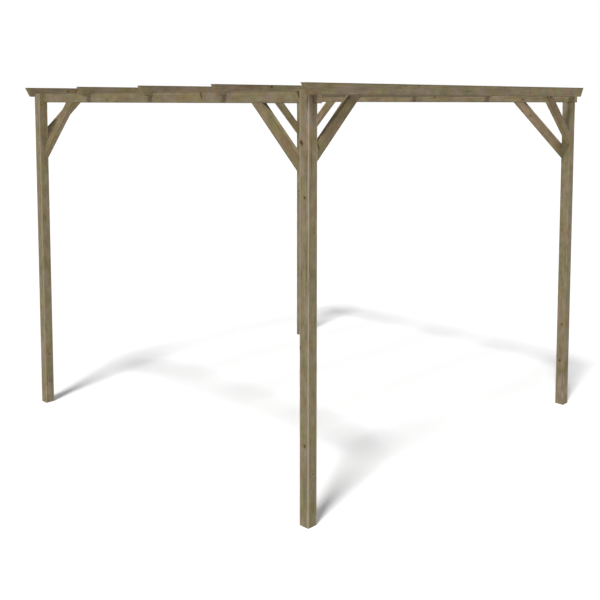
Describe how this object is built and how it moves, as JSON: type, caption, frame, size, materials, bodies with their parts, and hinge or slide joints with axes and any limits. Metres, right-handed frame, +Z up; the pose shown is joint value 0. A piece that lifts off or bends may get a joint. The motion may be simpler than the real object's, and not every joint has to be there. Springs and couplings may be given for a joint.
{
  "type": "timber carport frame",
  "caption": "Open square timber carport frame: corner posts with knee braces carry two side beams and evenly spaced cross rafters with undercut ends; no roof covering.",
  "frame": {"origin": "on the ground at the middle of the plan", "axes": "+X along the rafters from the left side to the right side, +Y along the beams from front to back, +Z up"},
  "size_m": [3.128, 3.115, 2.545],
  "materials": {
    "post_wood": "planed pressure-treated softwood, matt, green-brown",
    "beam_wood": "planed pressure-treated softwood, matt, green-brown",
    "rafter_wood": "planed pressure-treated softwood, matt, green-brown",
    "brace_wood": "planed pressure-treated softwood, matt, green-brown"
  },
  "bodies": {
    "root": {"post_front_left": "post_wood", "post_front_right": "post_wood", "post_back_left": "post_wood", "post_back_right": "post_wood", "beam_left": "beam_wood", "beam_right": "beam_wood", "rafter_1": "rafter_wood", "rafter_2": "rafter_wood", "rafter_3": "rafter_wood", "rafter_4": "rafter_wood", "rafter_5": "rafter_wood", "beam_brace_front_left": "brace_wood", "beam_brace_front_right": "brace_wood", "beam_brace_back_left": "brace_wood", "beam_brace_back_right": "brace_wood", "rafter_brace_front_left": "brace_wood", "rafter_brace_front_right": "brace_wood", "rafter_brace_back_left": "brace_wood", "rafter_brace_back_right": "brace_wood"}
  },
  "joints": []
}
